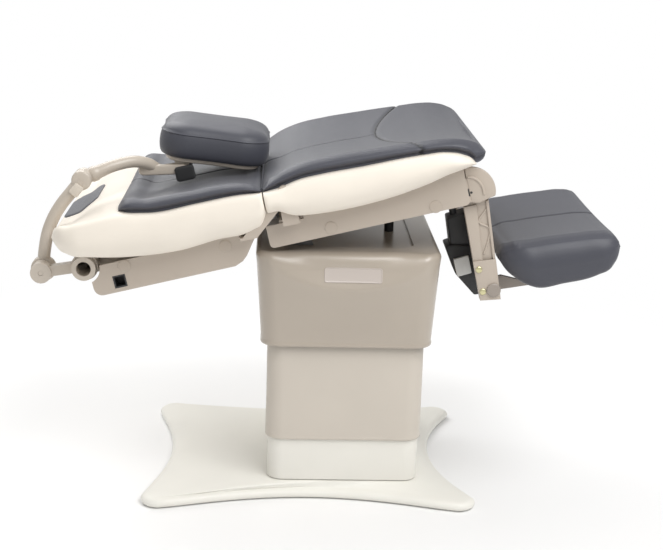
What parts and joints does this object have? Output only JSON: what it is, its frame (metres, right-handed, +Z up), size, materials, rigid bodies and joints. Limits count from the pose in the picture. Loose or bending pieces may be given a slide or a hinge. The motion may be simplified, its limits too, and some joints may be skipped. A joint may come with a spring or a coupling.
{
  "type": "procedure table",
  "caption": "Powered procedure table: padded back, seat, leg rest and foot pad on a covered lifting column, with an articulated headrest.",
  "frame": {"origin": "on the floor, under the middle of the base", "axes": "+X to the foot end, +Y to the far side, +Z up"},
  "size_m": [1.3995, 0.68, 0.9125],
  "materials": {
    "cream_vinyl": "satin",
    "grey_vinyl": "satin",
    "taupe_plastic": "satin",
    "stone_plastic": "satin",
    "white_plastic": "satin",
    "arm_paint": "satin",
    "steel": "satin",
    "frame_paint": "matte",
    "black_plastic": "matte"
  },
  "bodies": {
    "base": {"base_frame": "frame_paint", "base_cover": "white_plastic", "lower_cover": "white_plastic", "lift_outer_tube": "steel", "lift_motor": "black_plastic", "control_box": "black_plastic"},
    "lift_stage": {"lift_middle_tube": "steel"},
    "cover_stage": {"middle_cover": "stone_plastic"},
    "carriage": {"upper_shroud": "taupe_plastic", "lift_inner_tube": "steel", "carriage_plate": "steel", "badge_plate": "arm_paint", "tilt_bracket_near": "frame_paint", "tilt_bracket_far": "frame_paint", "tilt_actuator": "black_plastic"},
    "tilt_drive": {"tilt_rod": "steel"},
    "seat": {"seat_frame": "frame_paint", "tilt_shaft": "steel", "tilt_pin": "steel", "leg_shaft": "steel", "hinge_pin_near": "steel", "hinge_pin_far": "steel", "seat_cover_near": "taupe_plastic", "seat_cover_far": "taupe_plastic", "back_lug": "frame_paint", "leg_lug": "frame_paint", "seat_shell": "cream_vinyl", "seat_cushion": "grey_vinyl"},
    "back": {"back_shell": "cream_vinyl", "back_cushion": "grey_vinyl", "neck_pad": "grey_vinyl", "back_frame": "frame_paint", "cross_tube": "steel", "back_cover": "taupe_plastic", "accessory_socket_near": "black_plastic", "accessory_socket_far": "black_plastic", "back_actuator": "black_plastic"},
    "back_drive": {"back_rod": "steel"},
    "headrest_hub": {"arm_hub": "arm_paint", "knuckle_pin_1": "steel"},
    "headrest_lower_arm": {"lower_arm": "arm_paint", "knuckle_pin_2": "steel"},
    "headrest_upper_arm": {"upper_arm": "arm_paint", "pad_pivot": "black_plastic"},
    "headrest_lever": {"release_lever": "arm_paint"},
    "headrest": {"headrest_plate": "arm_paint", "headrest_pad": "grey_vinyl"},
    "leg_rest": {"leg_side_near": "taupe_plastic", "leg_side_far": "taupe_plastic", "leg_bracket_near": "taupe_plastic", "leg_bracket_far": "taupe_plastic", "leg_panel": "taupe_plastic", "leg_actuator": "black_plastic"},
    "leg_drive": {"leg_rod": "steel"},
    "foot_rest": {"foot_shaft": "steel", "foot_arm_near": "arm_paint", "foot_arm_far": "arm_paint", "foot_plate": "arm_paint", "foot_pad": "grey_vinyl"}
  },
  "joints": [
    {"name": "lift", "type": "slide", "parent": "base", "child": "carriage", "axis": [0, 0, 1], "range_m": [-0.28, 0.05]},
    {"name": "lift_stage_slide", "type": "slide", "parent": "base", "child": "lift_stage", "axis": [0, 0, 1], "range_m": [-0.141, 0.026]},
    {"name": "cover_stage_slide", "type": "slide", "parent": "base", "child": "cover_stage", "axis": [0, 0, 1], "range_m": [-0.106, 0.019]},
    {"name": "tilt", "type": "hinge", "parent": "carriage", "child": "seat", "pos_m": [-0.0359, 0, 0.67085], "axis": [0, -1, 0], "range_deg": [-14, 6]},
    {"name": "tilt_drive_slide", "type": "slide", "parent": "carriage", "child": "tilt_drive", "axis": [0, 0, 1], "range_m": [-0.0575, 0.025]},
    {"name": "back_raise", "type": "hinge", "parent": "seat", "child": "back", "pos_m": [-0.07463, 0, 0.78487], "axis": [0, 1, 0], "range_deg": [0, 70]},
    {"name": "back_drive_slide", "type": "slide", "parent": "back", "child": "back_drive", "axis": [0.9703, 0, 0.2419], "range_m": [-0.001, 0.127]},
    {"name": "headrest_reach", "type": "hinge", "parent": "back", "child": "headrest_hub", "pos_m": [-0.54334, 0, 0.58143], "axis": [0, -1, 0], "range_deg": [0, 50]},
    {"name": "headrest_height", "type": "hinge", "parent": "headrest_hub", "child": "headrest_lower_arm", "pos_m": [-0.64715, 0, 0.5638], "axis": [0, -1, 0], "range_deg": [0, 50]},
    {"name": "headrest_fold", "type": "hinge", "parent": "headrest_lower_arm", "child": "headrest_upper_arm", "pos_m": [-0.55291, 0, 0.78105], "axis": [0, -1, 0], "range_deg": [0, 70]},
    {"name": "headrest_tilt", "type": "hinge", "parent": "headrest_upper_arm", "child": "headrest", "pos_m": [-0.3208, 0, 0.79254], "axis": [0, -1, 0], "range_deg": [0, 15]},
    {"name": "lever_pull", "type": "slide", "parent": "headrest_upper_arm", "child": "headrest_lever", "axis": [0, -1, 0], "range_m": [0, 0.008], "stiffness_N_per_m": 300},
    {"name": "leg_raise", "type": "hinge", "parent": "seat", "child": "leg_rest", "pos_m": [0.36266, 0, 0.78362], "axis": [0, -1, 0], "range_deg": [0, 90]},
    {"name": "leg_drive_slide", "type": "slide", "parent": "leg_rest", "child": "leg_drive", "axis": [-0.2419, 0, 0.9703], "range_m": [-0.001, 0.0712]},
    {"name": "foot_level", "type": "hinge", "parent": "leg_rest", "child": "foot_rest", "pos_m": [0.43333, 0, 0.54153], "axis": [0, -1, 0], "range_deg": [-91, 1]}
  ],
  "couplings": [
    {"joint": "lift_stage_slide", "follows": "lift", "ratio": 0.5},
    {"joint": "cover_stage_slide", "follows": "lift", "ratio": 0.375},
    {"joint": "tilt_drive_slide", "follows": "tilt", "m_per_rad": 0.2312},
    {"joint": "back_drive_slide", "follows": "back_raise", "m_per_rad": 0.1033},
    {"joint": "leg_drive_slide", "follows": "leg_raise", "m_per_rad": 0.0446},
    {"joint": "foot_level", "follows": "leg_raise", "ratio": -1}
  ]
}
